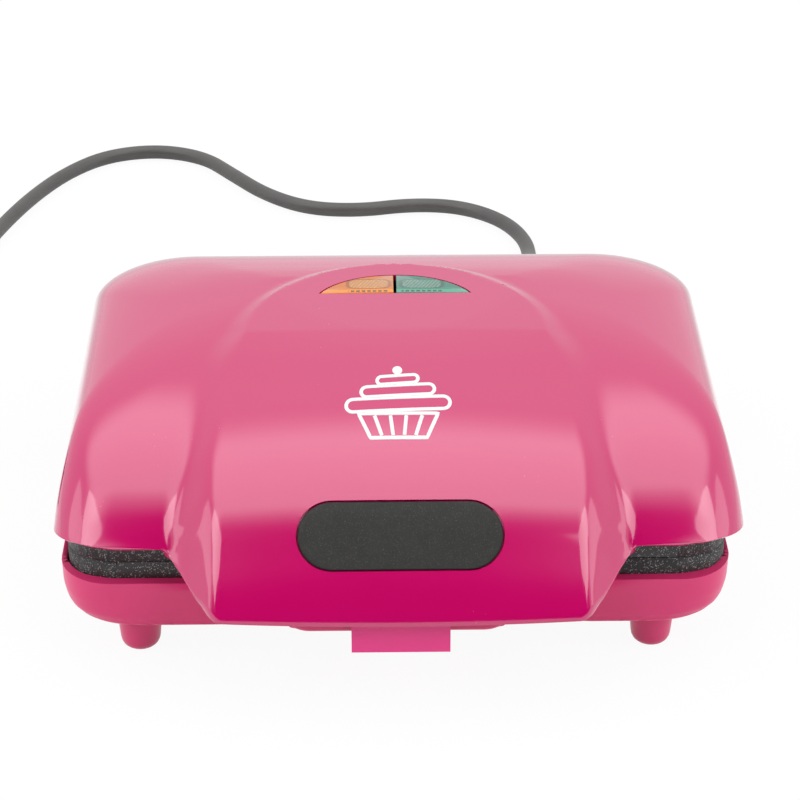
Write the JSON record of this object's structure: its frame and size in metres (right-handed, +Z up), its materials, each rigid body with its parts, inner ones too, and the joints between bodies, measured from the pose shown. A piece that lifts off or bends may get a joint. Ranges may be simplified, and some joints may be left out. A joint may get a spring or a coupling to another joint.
{
  "type": "mini layer cake maker",
  "caption": "Small countertop cooker with a domed lid hinged at the rear, round baking cups in both plates, a front latch, lamps, feet and a mains cord.",
  "frame": {"origin": "under the middle of the cooker without its cord, on the surface that it stands on", "axes": "+Z up, +X to the user's right, +Y from the front latch towards the rear hinge"},
  "size_m": [0.345, 0.4836, 0.0885],
  "materials": {
    "lid_enamel": "gloss",
    "magenta_plastic": "satin",
    "latch_plastic": "semi-gloss",
    "nonstick_plate": "speckled non-stick coating",
    "heater_sheath": "dull",
    "bright_sheet": "bright",
    "zinc_steel": "zinc plated",
    "amber_lens": "clear tinted",
    "green_lens": "clear tinted",
    "pale_plastic": "satin",
    "lamp_glass": "clear",
    "dark_grip": "matt",
    "cord_rubber": "matt",
    "plug_plastic": "satin",
    "pin_brass": "nickel plated"
  },
  "bodies": {
    "base": {"base_cover": "magenta_plastic", "lower_plate": "nonstick_plate", "lower_heating_element": "heater_sheath", "lower_reflector": "bright_sheet", "base_screws": "zinc_steel", "thermostat": "zinc_steel", "thermal_fuse": "pale_plastic", "terminal_block": "pale_plastic", "hinge_pin_left": "zinc_steel", "hinge_pin_right": "zinc_steel", "link_lead": "cord_rubber", "strain_relief": "cord_rubber", "cord": "cord_rubber", "plug": "plug_plastic", "plug_pins": "pin_brass", "foot_front_left": "magenta_plastic", "foot_front_right": "magenta_plastic", "foot_rear_left": "magenta_plastic", "foot_rear_right": "magenta_plastic"},
    "lid": {"lid_cover": "lid_enamel", "upper_plate": "nonstick_plate", "upper_heating_element": "heater_sheath", "upper_reflector": "bright_sheet", "lid_screws": "zinc_steel", "amber_lens": "amber_lens", "green_lens": "green_lens", "lamp_carrier": "pale_plastic", "amber_lamp": "lamp_glass", "green_lamp": "lamp_glass", "grip_pad": "dark_grip", "handle_liner": "magenta_plastic", "link_sleeve": "pale_plastic", "latch_pin": "zinc_steel"},
    "latch": {"latch_clip": "latch_plastic"}
  },
  "joints": [
    {"name": "lid_hinge", "type": "hinge", "parent": "base", "child": "lid", "pos_m": [0, 0.124, 0.044], "axis": [-1, 0, 0], "range_deg": [0, 105]},
    {"name": "latch_pivot", "type": "hinge", "parent": "lid", "child": "latch", "pos_m": [0, -0.1234, 0.0412], "axis": [-1, 0, 0], "range_deg": [-8, 25]}
  ]
}
